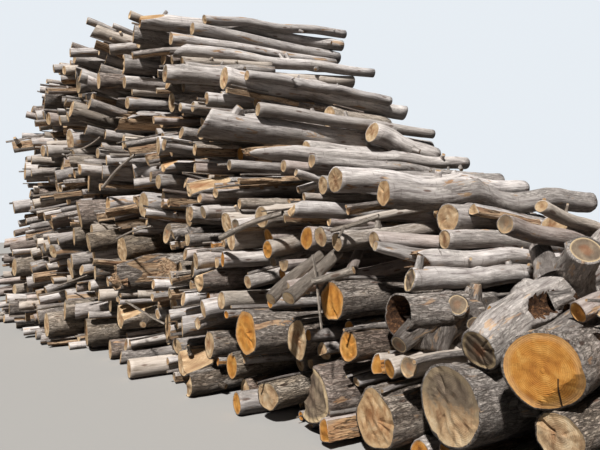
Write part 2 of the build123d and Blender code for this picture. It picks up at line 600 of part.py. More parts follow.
def settle_heap():
    """Sets down the chosen logs and the fillers between them, course by course, and lists them all."""
    dice = random.Random(SEED)
    pile, surface = Pile(), Surface()
    waiting = sorted(chosen_logs(), key=lambda chosen: chosen.base)
    sights = {chosen: chosen.sights() for chosen in waiting}

    def keep(log):
        pile.add(log)
        surface.cover(log)

    def best_place(chosen):
        """The plan place, near the one asked for, where the log would lie nearest to its height and pitch."""
        best = None
        for aside in (0, -45, 45, -90, 90, -130, 130):
            start, slope = seat(chosen.log, pile, chosen.x + aside, chosen.y, chosen.yaw, chosen.steepest)
            front_low = chosen.level - start
            rear_low = front_low + (chosen.rise - slope) * chosen.log.length
            misfit = abs(front_low) + 0.3 * abs(rear_low) + 0.25 * abs(aside)
            if best is None or misfit < best[0]:
                best = (misfit, chosen.x + aside, front_low, rear_low)
        return best[1:]

    def take(chosen):
        """Packs up the place under a chosen log as needed, and sets it down."""
        waiting.remove(chosen)
        log = chosen.log
        for _ in range(7):
            x, front_low, rear_low = best_place(chosen)
            if front_low < MISFIT and rear_low < 4 * MISFIT:
                break
            at_front, at_rear = front_low > MISFIT, rear_low > 2 * MISFIT
            length = log.length * (0.85 if at_front and at_rear else 0.4)
            along = log.length * (0.56 if not at_front else 0.03)
            diameter = max(80, min(front_low if at_front else rear_low, 260))
            offset = dice.uniform(-0.3, 0.3) * log.front
            yaw = math.radians(chosen.yaw)
            packing = Log(length, diameter)
            set_down(packing, pile, x + along * math.sin(yaw) + offset, chosen.y + along * math.cos(yaw),
                     chosen.yaw + dice.uniform(-4, 4), 3)
            keep(packing)
        keep(set_down(log, pile, x, chosen.y, chosen.yaw, 1, chosen.steepest, 140))
        sights[chosen] = chosen.sights()
        if chosen.top:
            surface.close(log)

    def fit(diameter, bow, turn, x, y, length, yaw):
        """A filler set down in a column, thinned where it would lift a waiting log, or that waiting log."""
        for _ in range(3):
            log = Log(length, diameter, bow=bow, bow_turn=turn)
            skew = (y - surface.depths[2]) * math.tan(math.radians(yaw))
            set_down(log, pile, x + skew, y, yaw)
            worst, blocked = 0, None
            for chosen in waiting:
                tops, along = crossing(log, chosen.log)
                allowed = chosen.base + 40 + chosen.rise * along
                if len(tops) and (tops - allowed).max() > worst:
                    worst, blocked = (tops - allowed).max(), chosen
            if blocked is None:
                return log, None
            if diameter - worst < 80:
                break
            diameter -= worst
        return None, blocked

    while True:
        column = surface.lowest()
        if column is None:
            break
        x = float(surface.columns[column])
        heights = surface.height[:, column]
        front_level, rear_level, z = heights[:3].mean(), heights[2:].mean(), heights.mean()
        diameter = filler_diameter(x, surface.outline[column] - z, dice)
        bow = dice.uniform(12, 45) if dice.random() < BOWED_SHARE else 0
        turn = dice.uniform(0, 360)
        yaw = dice.gauss(COMMON_YAW, YAW_SPREAD)
        protrusion = dice.uniform(*(RAGGED_ENDS if x < EVEN_FROM else EVEN_ENDS))
        y, length = face_line(x, z) + protrusion, dice.uniform(2300, 3000)
        if front_level - rear_level > UNEVEN:
            y, length = face_line(x, z) + DEPTH - dice.uniform(1300, 1500), dice.uniform(1200, 1500)
        elif rear_level - front_level > UNEVEN:
            length = dice.uniform(1200, 1500)
        y = min(y, face_line(x, z) + DEPTH + 250 - max(1200, length))
        hidden = np.concatenate(list(sights.values()))
        for set_back in SET_BACKS:
            if y + max(1200, length - set_back) + set_back > face_line(x, z) + DEPTH + 260:
                break
            log, blocked = fit(diameter, bow, turn, x, y + set_back, max(1200, length - set_back), yaw)
            if blocked or not hides(log, hidden):
                break
        if blocked:
            take(blocked)
            continue
        if hides(log, hidden):
            surface.done[column] = True
            continue
        top = log.stations(COARSE_STEP)[0][:, 2].mean() + log.radius(0.5)
        if top > surface.outline[column] + 90:
            surface.done[column] = True
            continue
        keep(log)
    for chosen in list(waiting):
        take(chosen)
    return held_up(pile)


# Zones along the face, and the height of a course, by which the nodes that hold many logs are named.
ZONES = (("far_end", 700), ("far", 2100), ("middle", 3500), ("slope", 5300), ("near", 20000))
COURSE = 600


def round_solid(log):
    """The log without its branches and slices, along +X: a cylinder, a straight taper or an arc."""
    if log.bow:
        radius, half = log.arc()
        start = Plane(origin=(0, 0, 0), z_dir=(math.cos(half), math.sin(half), 0))
        centre = (log.length / 2, log.bow - radius, 0)
        ring = Face(Wire.make_circle(log.front, start))
        arc = Solid.revolve(ring, math.degrees(2 * half), Axis(centre, (0, 0, -1)))
        return arc.rotate(Axis.X, math.degrees(log.bow_turn))
    if log.front == log.rear:
        return Solid.make_cylinder(log.front, log.length, Plane.YZ)
    return Solid.make_cone(log.front, log.rear, log.length, Plane.YZ)


def branch_solid(branch):
    """A tapered arm from the heart outwards, rounded where it starts inside the log."""
    root, tip = branch.ends()
    plane = Plane(origin=tuple(root), z_dir=tuple(tip - root))
    arm = Solid.make_cone(branch.root, branch.tip, branch.length, plane)
    return arm.fuse(Solid.make_sphere(branch.root * 0.99, Plane(tuple(root)), -90, 90, 360)).solid()


def slice_plane(cut):
    """The plane of a slice, facing the side that stays."""
    outward = Vector(0, math.cos(cut.turn), math.sin(cut.turn))
    start = Vector(cut.along, 0, 0) + outward * cut.out
    run = Vector(cut.to_along - cut.along, 0, 0) + outward * (cut.to_out - cut.out)
    across = outward.cross(Vector(1, 0, 0))
    normal = run.cross(across).normalized()
    inside = Vector(cut.to_along + 1000, 0, 0) - start
    return Plane(origin=start, z_dir=normal if normal.dot(inside) > 0 else -normal)


def log_solid(log):
    """A log's solid where it lies in the heap."""
    solid = round_solid(log)
    for branch in log.branches:
        solid = solid.fuse(branch_solid(branch)).solid()
    for cut in log.slices:
        solid = max(solid.split(slice_plane(cut), keep=Keep.TOP).solids(), key=lambda piece: piece.volume)
    forward, _, upward = log.axes
    lie = Plane(origin=tuple(log.origin), x_dir=tuple(forward), z_dir=tuple(upward))
    return solid.moved(lie.location)


def node_name(log):
    """The node that a log belongs to: its own name, or its zone and course."""
    if log.name:
        return log.name
    middle = log.stations(COARSE_STEP)[0].mean(axis=0)
    zone = next(name for name, limit in ZONES if middle[0] < limit)
    return f"{zone}_course_{int(middle[2] // COURSE) + 1}"


def main():
    logs = settle_heap()
    nodes = {}
    for log in logs:
        nodes.setdefault(node_name(log), []).append(log_solid(log))
    box = Compound([solid for solids in nodes.values() for solid in solids]).bounding_box()
    ground_middle = Vector((box.min.X + box.max.X) / 2, (box.min.Y + box.max.Y) / 2, box.min.Z)
    os.makedirs("parts", exist_ok=True)
    for name, solids in nodes.items():
        export_step(Compound([solid.moved(Location(-ground_middle)) for solid in solids]), f"parts/{name}.step")
    print(len(logs), "logs in", len(nodes), "nodes")
    print("size", [round(v) for v in (box.size.X, box.size.Y, box.size.Z)], "moved by", ground_middle)


main()
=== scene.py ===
"""Looks of the heap of logs: bark, sawn and split ends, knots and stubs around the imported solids."""
import math
import random
from collections import namedtuple

import bpy
import numpy as np
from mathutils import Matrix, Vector
from mathutils.bvhtree import BVHTree


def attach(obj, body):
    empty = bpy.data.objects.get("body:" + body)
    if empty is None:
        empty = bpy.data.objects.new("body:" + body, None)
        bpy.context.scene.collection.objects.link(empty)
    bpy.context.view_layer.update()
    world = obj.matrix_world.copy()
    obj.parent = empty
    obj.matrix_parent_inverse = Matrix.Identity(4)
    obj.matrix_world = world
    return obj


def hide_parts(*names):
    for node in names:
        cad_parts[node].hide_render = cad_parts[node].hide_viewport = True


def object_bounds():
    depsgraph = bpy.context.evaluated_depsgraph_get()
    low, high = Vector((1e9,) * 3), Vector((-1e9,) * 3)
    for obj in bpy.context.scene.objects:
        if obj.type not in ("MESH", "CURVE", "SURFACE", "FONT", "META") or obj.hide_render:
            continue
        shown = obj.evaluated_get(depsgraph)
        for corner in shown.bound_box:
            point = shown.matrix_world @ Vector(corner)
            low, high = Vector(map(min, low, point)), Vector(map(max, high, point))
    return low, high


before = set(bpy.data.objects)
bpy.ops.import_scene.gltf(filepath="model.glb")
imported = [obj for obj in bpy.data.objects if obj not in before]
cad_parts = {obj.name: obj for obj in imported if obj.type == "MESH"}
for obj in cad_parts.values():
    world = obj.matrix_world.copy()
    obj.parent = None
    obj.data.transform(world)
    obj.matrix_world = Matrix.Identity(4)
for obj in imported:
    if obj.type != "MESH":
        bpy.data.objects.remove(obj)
cad_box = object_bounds()

# Where part.py's layout has its origin in this frame, and where the photo was taken from, in metres.
LAYOUT = Vector((-3.78982, -1.38812, -0.000287))
EYE = Vector((8.870, -3.200, 1.600)) + LAYOUT
VIEW_YAW = 45

# Arms of the forked logs, as in part.py: along, length, root, tip (mm), lean, turn (degrees).
ARMS = {
    "crest_log": [(260, 170, 60, 45, 60, 95)],
    "low_fork": [(300, 520, 120, 85, 163, 40)],
    "stubbed_log": [(110, 180, 80, 50, 80, 95)],
    "forked_trunk": [(1050, 360, 260, 230, 105, 130), (850, 620, 220, 160, 40, 15)],
    "knotted_trunk": [(330, 430, 210, 140, 150, 250), (560, 260, 190, 160, 130, 155),
                      (720, 290, 150, 120, 130, 195), (600, 210, 80, 60, 80, 110)],
    "crossed_fork": [(620, 330, 100, 80, 45, 60)],
}

# The trunks that carry those arms: length, front and rear radius in metres.
TRUNKS = {
    "crest_log": (3.0, 0.115, 0.08),
    "low_fork": (2.35, 0.09, 0.055),
    "stubbed_log": (2.5, 0.09, 0.075),
    "forked_trunk": (1.9, 0.135, 0.155),
    "knotted_trunk": (1.3, 0.15, 0.135),
    "crossed_fork": (2.2, 0.065, 0.055),
}

# Logs with a torn front end, and those whose front end is sawn square and has no slant.
TORN = ("torn_log", "low_fork", "cleft_block", "split_block")
CLEAN_ENDS = ("orange_butt", "shaded_butt", "low_butt", "face_butt", "tan_end_log", "round_end_log")

# How fresh an end looks, from 0, grey, to 1, orange, and how rough a bark is, from 0 to 1.
FRESH = {
    "orange_butt": 0.9, "shaded_butt": 0.85, "low_butt": 0.8, "face_butt": 0.95, "split_trunk": 0.02,
    "tan_end_log": 0.35, "round_end_log": 0.5, "forked_trunk": 0.01, "weathered_butt": 0.065,
    "toe_trunk": 0.5, "knotted_trunk": 0.02, "stubbed_log": 0.0, "great_log": 0.35, "low_fork": 0.4,
    "crest_log": 0.52,
}
ROUGHNESS = {
    "forked_trunk": 0.32, "knotted_trunk": 0.5, "low_fork": 0.1, "stubbed_log": 0.15,
    "great_log": 0.12, "weathered_butt": 0.5, "orange_butt": 0.5, "slope_log": 0.05,
    "bowed_log": 0.15, "crest_log": 0.15,
}

# Where the forked trunk has rotted open: along, turn (degrees), half length, half width and depth.
CAVITY = (0.55, 158, 0.17, 0.09, 0.07)

# Crumbled wood on the forked trunk: along, turn (degrees) and lean.
RUBBLE = ((0.60, 238, -0.2), (0.72, 222, 0.1), (0.80, 246, 0.3), (0.70, 255, 0.0), (0.88, 225, 0.2))

# Burls of the knotted trunk: along, turn (degrees), lean, length, root and tip radius.
BURLS = (
    (0.42, 245, -0.5, 0.36, 0.13, 0.10), (0.62, 265, -0.25, 0.40, 0.14, 0.10),
    (0.80, 215, -0.15, 0.25, 0.12, 0.07), (0.66, 100, 0.1, 0.19, 0.11, 0.06),
    (0.25, 262, -0.2, 0.22, 0.11, 0.09),
)

# Split faces of the cleft logs: turn (degrees), depth as a share of the radius, and reach.
WEDGES = {"split_block": [(150, 0.35, 0.9), (240, 0.3, 0.9)], "cleft_block": [(175, 0.45, 0.5)]}

# Loose sticks in front of a node, in part.py's layout: foot, tip and radius at the foot.
STICKS = {
    "split_block": [((2.02, -0.05, 2.16), (2.74, 0.06, 2.50), 0.022),
                    ((1.2, 0.2, 3.2), (2.2, 0.25, 3.05), 0.015),
                    ((0.75, 0.05, 2.62), (1.7, 0.1, 2.85), 0.014),
                    ((1.5, -0.05, 1.75), (2.4, 0.05, 1.6), 0.013)],
    "cleft_block": [((2.9, -0.28, 1.5), (3.6, -0.2, 1.62), 0.014),
                    ((1.3, -0.3, 0.8), (2.1, -0.25, 1.0), 0.012),
                    ((3.2, -0.28, 0.75), (3.9, -0.22, 0.6), 0.014)],
    "crossed_fork": [((6.078, -0.50, 1.103), (6.004, 0.10, 1.406), 0.058),
                     ((5.841, -0.48, 1.058), (5.81, 0.12, 1.383), 0.052),
                     ((6.497, -0.30, 1.31), (6.20, -0.40, 1.215), 0.032)],
    "low_butt": [((4.795, -0.2, 1.544), (5.568, -0.1, 1.726), 0.03),
                 ((6.124, -0.35, 1.40), (6.304, -0.42, 0.89), 0.011),
                 ((6.107, -0.1, 1.577), (6.487, 0.0, 1.688), 0.021),
                 ((6.22, -0.07, 1.62), (6.27, -0.2, 1.53), 0.012)],
}
STICK_TONE = (0.25, 0.1, 0.3, 0.5)

# Where the painted shade of the orange butt's saw cut lies, over its section: from and to upwards, and
# its two edges across.
KERF_UP, KERF_ACROSS = (-0.025, -0.19), (-0.076, -0.083)

# How much of the depth of that log's notch is drawn.
NOTCH_SHARE = 0.6

# A log with a greater radius than this counts as big.
BIG = 0.115

# The share of the logs in question that are split along, and that have a slanted end.
SPLIT_LOGS, SLANTED_ENDS = 0.34, 0.55

# Distances from the eye, in metres, within which a log's mesh is fine or fair.
STEPS_FINE, FINE, FAIR = 4.2, 4.5, 6.5

BARK_SLOT, END_SLOT, SPLIT_SLOT, ROT_AND_SHADE_SLOT = 0, 1, 2, 3


# Reading the logs from the frame
Facet = namedtuple("Facet", "area normal middle corner")


def node_islands(obj):
    """The separate logs of a node: welded points and triangles of each."""
    mesh = obj.data
    points = np.empty(len(mesh.vertices) * 3, np.float32)
    mesh.vertices.foreach_get("co", points)
    points = points.reshape(-1, 3).astype(float)
    mesh.calc_loop_triangles()
    corners = np.empty(len(mesh.loop_triangles) * 3, np.int32)
    mesh.loop_triangles.foreach_get("vertices", corners)
    corners = corners.reshape(-1, 3)
    welds_per_metre = 2e4
    _, first, inverse = np.unique(np.round(points * welds_per_metre).astype(np.int64), axis=0,
                                  return_index=True, return_inverse=True)
    points, corners = points[first], inverse.reshape(-1)[corners]
    label = np.arange(len(points))
    while True:
        low = label[corners].min(axis=1)
        new = label.copy()
        for k in range(3):
            np.minimum.at(new, corners[:, k], low)
        new = new[new]
        if (new == label).all():
            break
        label = new
    found = []
    for mark in np.unique(label[corners[:, 0]]):
        mine = corners[label[corners[:, 0]] == mark]
        used, local = np.unique(mine, return_inverse=True)
        found.append((points[used], local.reshape(-1, 3)))
    return found


def flat_faces(points, triangles, steepness=0.06, most=12):
    """Flat faces that stand across the log, largest first, and the log's rough axis."""
    a, b, c = (points[triangles[:, k]] for k in range(3))
    normal = np.cross(b - a, c - a)
    area = np.linalg.norm(normal, axis=1) / 2
    normal = normal / np.maximum(area[:, None] * 2, 1e-12)
    centred = points - points.mean(0)
    axis = np.linalg.eigh(centred.T @ centred)[1][:, 2]
    left = (np.abs(normal @ axis) > steepness) & (area > 1e-8)
    faces = []
    while left.any() and len(faces) < most:
        seed = np.where(left, area, 0).argmax()
        level = np.abs((a - a[seed]) @ normal[seed]) < 4e-4
        same = left & (normal @ normal[seed] > 0.9998) & level
        weights = area[same][:, None]
        middle = ((a + b + c)[same] / 3 * weights).sum(0) / weights.sum()
        faces.append(Facet(float(weights.sum()), normal[seed], middle, a[seed]))
        left &= ~same
    faces.sort(key=lambda face: -face.area)
    return faces, axis


def arm_direction(log, lean, turn):
    lean, turn = math.radians(lean), math.radians(turn)
    return (math.cos(lean) * log.forward + math.sin(lean) * math.cos(turn) * log.side
            + math.sin(lean) * math.sin(turn) * log.up)


class Round:
    """One log as read from its solid: its heart, its radius along it, and its front end's cuts."""

    def __init__(self, node, points, triangles):
        self.node = node
        self.bow, self.bow_axis, self.cuts = 0.0, np.array([0, 0, 1.0]), []
        faces, axis = flat_faces(points, triangles)
        if axis[1] < 0:
            axis = -axis
        along = points @ axis
        span = along.max() - along.min()
        rear = max((face for face in faces if face.normal @ axis > 0.9
                    and face.middle @ axis > along.max() - 0.2 * span), key=lambda face: face.area)
        front = max((face for face in faces if face.normal @ axis < -0.985
                     and face.middle @ axis < along.min() + 0.12 * span),
                    key=lambda face: face.area, default=None)
        least_bend = 0.012
        bowed = (front is not None and node not in ARMS
                 and math.acos(min(1, -float(front.normal @ rear.normal))) > least_bend)
        if bowed:
            self.read_bowed(points, front, rear)
        else:
            self.read_straight(points, rear)
        self.size = max(self.front_r, self.rear_r)
        self.side = np.cross([0, 0, 1.0], self.forward)
        self.side /= np.linalg.norm(self.side)
        self.up = np.cross(self.forward, self.side)
        self.axes = np.stack([self.side, self.up])
        if not bowed:
            self.cuts = self.front_cuts(points, faces)

    def read_bowed(self, points, front, rear):
        """A log bent to an arc, with a square face at each end."""
        self.start = front.middle
        chord = rear.middle - self.start
        self.length = float(np.linalg.norm(chord))
        self.forward = chord / self.length
        off_middle = np.abs((points - self.start) @ self.forward - self.length / 2)
        ring = off_middle < off_middle.min() + 0.02
        rise = (points[ring] - self.start).mean(0)
        rise = rise - self.forward * (rise @ self.forward)
        self.bow = float(np.linalg.norm(rise))
        self.bow_axis = rise / max(self.bow, 1e-9)
        rim = np.abs((points - self.start) @ front.normal) < 1e-3
        self.front_r = self.rear_r = float(np.linalg.norm(points[rim] - self.start, axis=1).max())

    def read_straight(self, points, rear):
        """A straight log, which may taper and whose front end may be cut away."""
        self.forward = rear.normal
        rim = np.abs((points - rear.corner) @ rear.normal) < 5e-4
        ring = points[rim]
        end = (ring.max(0) + ring.min(0)) / 2
        fitted = np.linalg.lstsq(np.c_[2 * ring, np.ones(len(ring))], (ring ** 2).sum(1),
                                 rcond=None)[0][:3]
        fitted = fitted - self.forward * ((fitted - ring.mean(0)) @ self.forward)
        end = fitted if np.linalg.norm(fitted - end) < 0.02 else end
        if self.node in TRUNKS:
            self.length, self.front_r, self.rear_r = TRUNKS[self.node]
            self.start = end - self.forward * self.length
            return
        self.length = float(-((points - end) @ self.forward).min())
        self.start = end - self.forward * self.length
        offset = points - self.start
        t = offset @ self.forward
        r = np.linalg.norm(offset - t[:, None] * self.forward, axis=1)
        self.rear_r = float(np.median(r[rim]))
        ahead = t < self.length * 0.4
        share = t[ahead] / self.length
        self.front_r = float(((r[ahead] - share * self.rear_r) / (1 - share)).max())

    def front_cuts(self, points, faces):
        """Normal and middle of each plane that cuts the front end. Tips of arms are left out."""
        tips = [arm_direction(self, *values[4:]) for values in ARMS.get(self.node, ())]
        return [(face.normal, face.middle) for face in faces
                if -0.995 < face.normal @ self.forward < -0.09 and face.area > 4e-4
                and (face.middle - self.start) @ self.forward < 0.35 * self.length
                and (np.abs((points - face.middle) @ face.normal) < 5e-4).sum() > 5
                and all(face.normal @ tip < 0.995 for tip in tips)]

    def radius_at(self, share):
        return self.front_r + (self.rear_r - self.front_r) * share

    def rise_at(self, share):
        return self.bow * (1 - (2 * share - 1) ** 2)


# Relief
def waves(dice, count, low, high):
    """Random smooth waves: cycles along per metre, turns round, phase and weight."""
    return [(dice.uniform(low, high), dice.choice((0, 1, 1, 2, 2, 3, 4)), dice.uniform(0, math.tau),
             dice.uniform(0.4, 1.0)) for _ in range(count)]


def wave_sum(rows, along, angle):
    total = 0
    for cycles, turns, phase, weight in rows:
        total = total + weight * np.sin(along * cycles * math.tau + turns * angle + phase)
    return total / len(rows) ** 0.5


def turned_from(angle, turn):
    """The angle from a turn, between half a turn back and half a turn on."""
    return (angle - turn + math.pi) % math.tau - math.pi


def cap_height(log, across, upward):
    """How far in from the front end the oblique cuts leave the wood, over the log's section."""
    height = np.zeros_like(across)
    for normal, point in log.cuts:
        n_along = float(normal @ log.forward)
        n_side, n_up = float(normal @ log.side), float(normal @ log.up)
        level = float((point - log.start) @ normal)
        height = np.maximum(height, (level - n_side * across - n_up * upward) / n_along)
    if log.node == "orange_butt":
        height = NOTCH_SHARE * height
    if log.tilt:
        slant, turn = log.tilt
        slope = log.size + across * math.cos(turn) + upward * math.sin(turn)
        height = np.maximum(height, slant * slope)
    return height


def crack_depth(log, share, angle):
    """Seasoning cracks that open from the heart towards the bark, as extra depth of the end."""
    depth = 0
    for turn, width, deep, inner in log.cracks:
        turned = np.abs(turned_from(angle, turn))
        opening = np.exp(-(turned * np.maximum(share, 0.12) / width) ** 2)
        depth = depth + deep * opening * (share > inner)
    return depth


def knot_rows(log, dice):
    """Knots in the bark: along, turn, reach and lift."""
    knots = [(dice.uniform(0.08, log.length), dice.uniform(0, math.tau),
              dice.uniform(0.35, 0.8) * log.size, dice.uniform(0.10, 0.28) * log.size)
             for _ in range(dice.randint(1, 7 if log.bare else 4))]
    for _ in range(16 if log.node in ("knotted_trunk", "forked_trunk") else 0):
        knots.append((dice.uniform(0.02, 0.95), dice.uniform(0, math.tau),
                      dice.uniform(0.3, 0.7) * log.size, dice.uniform(0.08, 0.22) * log.size))
    return knots


def rot_open(radius, base, t, angle, rows):
    """Sinks the cavity into a trunk's radius, with a raised rim, and says where it is rotten."""
    place, turn, reach, width, deep = CAVITY
    turned = turned_from(angle, math.radians(turn))
    inside = ((t - place) / reach) ** 2 + (turned * base / width) ** 2
    inside = inside + 0.22 * wave_sum(rows, t * 2, angle * 4)
    crumbs = 0.012 * wave_sum(rows, t * 4, angle * 9)
    radius = radius + 0.014 * np.exp(-((inside - 1.3) / 0.3) ** 2)
    sunk = deep * np.sqrt(np.clip(1 - inside, 0, 1)) + crumbs
    return radius - np.where(inside < 1, sunk, 0), inside < 1.05


def split_off(log, radius, base, t, angle, rows):
    """Flattens the sides that a log has been split along, and says where."""
    flat = np.zeros_like(radius, bool)
    steepest, fade_length, beyond = 0.05, 0.25, 1.2
    for turn, depth, reach in log.splits:
        facing = np.cos(angle - turn)
        fade = np.clip((t - reach) / fade_length, 0, 1)
        limit = base * (depth + (beyond - depth) * fade) * (1 + 0.03 * wave_sum(rows, t, angle))
        cut = np.where(facing > steepest, limit / np.maximum(facing, steepest), 9)
        flat |= cut < radius
        radius = np.minimum(radius, cut)
    return radius, flat


class Patch:
    """Grows one log's mesh: points with their grain places and rim shares, and quads with slots."""

    def __init__(self):
        self.points, self.places, self.rims, self.faces, self.slots = [], [], [], [], []
        self.total = 0

    def add(self, points, places, rims):
        self.points.append(points.reshape(-1, 3))
        self.places.append(places.reshape(-1, 3))
        self.rims.append(np.broadcast_to(rims, points.shape[:-1]).reshape(-1))
        numbers = np.arange(self.total, self.total + len(self.points[-1]))
        self.total += len(numbers)
        return numbers.reshape(points.shape[:-1])

    def strip(self, first, second, slot, flip=False):
        """Quads between two closed rings of the same count. Slot is one number or one for each."""
        quads = np.stack([first, second, np.roll(second, -1), np.roll(first, -1)], -1)
        self.faces.append(quads[:, ::-1] if flip else quads)
        self.slots.append(np.broadcast_to(slot, len(quads)))

    def close(self, ring, middle, slot, flip=False):
        """Triangles from a ring to a middle point, kept as quads that name the middle twice."""
        self.strip(ring, np.full(len(ring), middle), slot, flip)

    def done(self):
        return tuple(np.concatenate(rows) for rows in
                     (self.points, self.faces, self.slots, self.places, self.rims))


def by_distance(log, fine, fair, coarse, within=FINE):
    return fine if log.near < within else fair if log.near < FAIR else coarse


def mesh_steps(log):
    """Points round a log, and its steps along: close together at the head and wider behind it."""
    facet = by_distance(log, 9, 18, 32)
    around = int(max(12, min(96, round(12 + log.size * 1000 / facet))))
    fine = by_distance(log, 0.022, 0.045, 0.10, within=STEPS_FINE)
    head = min(0.8, log.length * 0.3)
    body = fine * (1.5 if log.bare else 5)
    if log.node == "forked_trunk":
        around, body = 84, 0.014
    steps = np.concatenate([np.arange(0, head, fine), np.arange(head, log.length - 0.05, body),
                            [log.length]])
    return around, steps


def tube(log, dice):
    """A log's bark and both ends as one mesh."""
    around, steps = mesh_steps(log)
    turns_round = np.linspace(0, math.tau, around, endpoint=False)
    cos, sin = np.cos(turns_round), np.sin(turns_round)
    angle = turns_round[None, :]

    low_rows, mid_rows = waves(dice, 5, 0.2, 1.2), waves(dice, 7, 1.5, 6.0)
    fine_rows = waves(dice, 8, 5.0, 14.0)
    deepest_lobe = 0.05 if log.size > 0.11 else 0.035
    lobes = [(turns, dice.uniform(0, deepest_lobe), dice.uniform(0, math.tau)) for turns in (2, 3, 5)]
    knots = knot_rows(log, dice)
    crook = 0.12 * log.size + (0.022 if log.bare else 0.004)

    rim_height = cap_height(log, log.front_r * cos, log.front_r * sin)
    t = rim_height[None, :] + (log.length - rim_height[None, :]) * (steps / log.length)[:, None]
    share = t / log.length
    base = log.radius_at(share)
    relief = (0.030 * wave_sum(low_rows, t, angle) + 0.018 * wave_sum(mid_rows, t, angle)
              + 0.007 * wave_sum(fine_rows, t, angle * 2))
    for turns, depth, turn in lobes:
        relief = relief + depth * np.cos(turns * angle + turn) * (0.4 + 0.6 * np.exp(-t / 0.8))
    radius = base * ((0.985 if log.size > BIG or log.bare else 0.94) + relief)
    if log.ridges:
        radius = radius + log.ridges * np.abs(np.sin(
            angle * log.ridge_count / 2 + 1.5 * np.sin(t * 5) + 0.8 * np.sin(t * 17 + angle * 3)))
    for place, turn, reach, lift in knots:
        arc = turned_from(angle, turn) * base
        radius = radius + lift * np.exp(-2.2 * (((t - place) / reach) ** 2 + (arc / reach) ** 2))
    rotten = np.zeros_like(radius, bool)
    if log.node == "forked_trunk":
        radius, rotten = rot_open(radius, base, t, angle, fine_rows)
    radius, flat = split_off(log, radius, base, t, angle, fine_rows)

    rise = log.rise_at(share)
    swing = crook * np.sin(math.pi * np.clip(share, 0, 1))
    heart = np.stack(
        [rise * float(log.bow_axis @ log.side) + swing * wave_sum(low_rows, t, 0.0),
         rise * float(log.bow_axis @ log.up) + swing * wave_sum(low_rows[::-1], t, 2.0)], -1)
    cross = np.stack([radius * cos, radius * sin], -1)
    patch = Patch()
    grid = patch.add(log.start + t[..., None] * log.forward + (cross + heart) @ log.axes,
                     np.concatenate([t[..., None], cross], -1), 1.0)
    for row in range(len(steps) - 1):
        skin = np.where(flat[row] & np.roll(flat[row], -1), SPLIT_SLOT, BARK_SLOT)
        skin = np.where(rotten[row] & np.roll(rotten[row], -1), ROT_AND_SHADE_SLOT, skin)
        patch.strip(grid[row], grid[row + 1], skin, flip=True)
    close_end(log, dice, patch, grid[0], cross[0], heart[0], turns_round, True)
    close_end(log, dice, patch, grid[-1], cross[-1], heart[-1], turns_round, False)
    return patch.done()


def close_end(log, dice, patch, ring, cross, heart, angle, at_front):
    """Closes one end of a log with rings from the bark in to the heart."""
    bark = min(0.25, (0.004 + 0.045 * log.size) / log.size)
    count = by_distance(log, 7, 4, 3) if at_front else 2
    count += 7 if at_front and log.cuts else 0
    scales = [1 - bark] + list(np.linspace(1 - bark, 0, count + 1)[1:])
    rough = [(dice.uniform(0, math.tau), dice.uniform(25, 110)) for _ in range(5)]
    torn = at_front and log.node in TORN
    hollow = at_front and log.node == "knotted_trunk"
    hollow_depth, hollow_rim = 0.34, 0.8
    depth = 0.016 if torn else 0.0035 if at_front and log.cuts else 0.0014
    depth = 0.0006 if log.node == "orange_butt" else depth
    wood = ROT_AND_SHADE_SLOT if hollow else SPLIT_SLOT if torn else END_SLOT
    slot = BARK_SLOT
    for scale in scales:
        in_wood = scale < 1 - bark
        spot = cross * scale if scale else np.zeros((1, 2))
        height = (cap_height(log, spot[:, 0], spot[:, 1]) if at_front
                  else np.full(len(spot), log.length))
        inward = depth * in_wood * sum(
            np.sin(c * (spot[:, 0] * math.cos(p) + spot[:, 1] * math.sin(p)) + p) for p, c in rough)
        if at_front and scale:
            inward = inward + crack_depth(log, scale, angle) + (0.003 if in_wood else 0)
        if hollow:
            inward = inward + hollow_depth * (hollow_rim - min(scale, hollow_rim)) ** 0.5
        height = height + (inward if at_front else -inward)
        middle = heart if scale else heart.mean(0, keepdims=True)
        numbers = patch.add(log.start + height[:, None] * log.forward + (spot + middle) @ log.axes,
                            np.concatenate([height[:, None], spot], -1), scale)
        if scale:
            patch.strip(ring, numbers, slot, flip=not at_front)
        else:
            patch.close(ring, int(numbers[0]), wood, flip=not at_front)
        ring, slot = numbers, wood


def limb(start, direction, length, root, tip, collar, dice, around=14, step=0.03, wander=0.0,
         skin=BARK_SLOT, lumps=0.02):
    """A branch, a cut-off stub, a stick or a splinter: a tapered round with a plain tip."""
    direction = direction / np.linalg.norm(direction)
    right = np.cross(direction, [0.3, 0.2, 0.93])
    right /= np.linalg.norm(right)
    axes = np.stack([right, np.cross(direction, right)])
    steps = np.append(np.arange(0, length - step / 2, step), length)
    angle = np.linspace(0, math.tau, around, endpoint=False)
    t = steps[:, None] * np.ones((1, around))
    rows = waves(dice, 5, 1.0, 6.0)
    radius = root + (tip - root) * t / length
    radius = radius * (0.98 + (0.04 + lumps) * wave_sum(rows, t, angle[None, :]))
    if collar:
        radius = radius * (1 + 0.5 * np.exp(-t / collar))
    bend = wander * np.stack([np.sin(t * 4 + rows[0][2]) * t, np.sin(t * 3 + rows[1][2]) * t], -1)
    cross = np.stack([radius * np.cos(angle), radius * np.sin(angle)], -1)
    grain_shift = 3
    patch = Patch()
    grid = patch.add(start + t[..., None] * direction + (cross + bend) @ axes,
                     np.concatenate([t[..., None] + grain_shift, cross], -1), 1.0)
    for row in range(len(steps) - 1):
        patch.strip(grid[row], grid[row + 1], skin, flip=True)
    ring, slot = grid[-1], skin
    for scale in (0.86, 0.5, 0):
        spot = cross[-1] * scale if scale else np.zeros((1, 2))
        middle = bend[-1] if scale else bend[-1].mean(0, keepdims=True)
        place = np.concatenate([np.full((len(spot), 1), length + grain_shift), spot], -1)
        numbers = patch.add(start + length * direction + (spot + middle) @ axes, place, scale)
        if scale:
            patch.strip(ring, numbers, slot, flip=True)
        else:
            patch.close(ring, int(numbers[0]), END_SLOT, flip=True)
        ring, slot = numbers, END_SLOT
    return patch.done()


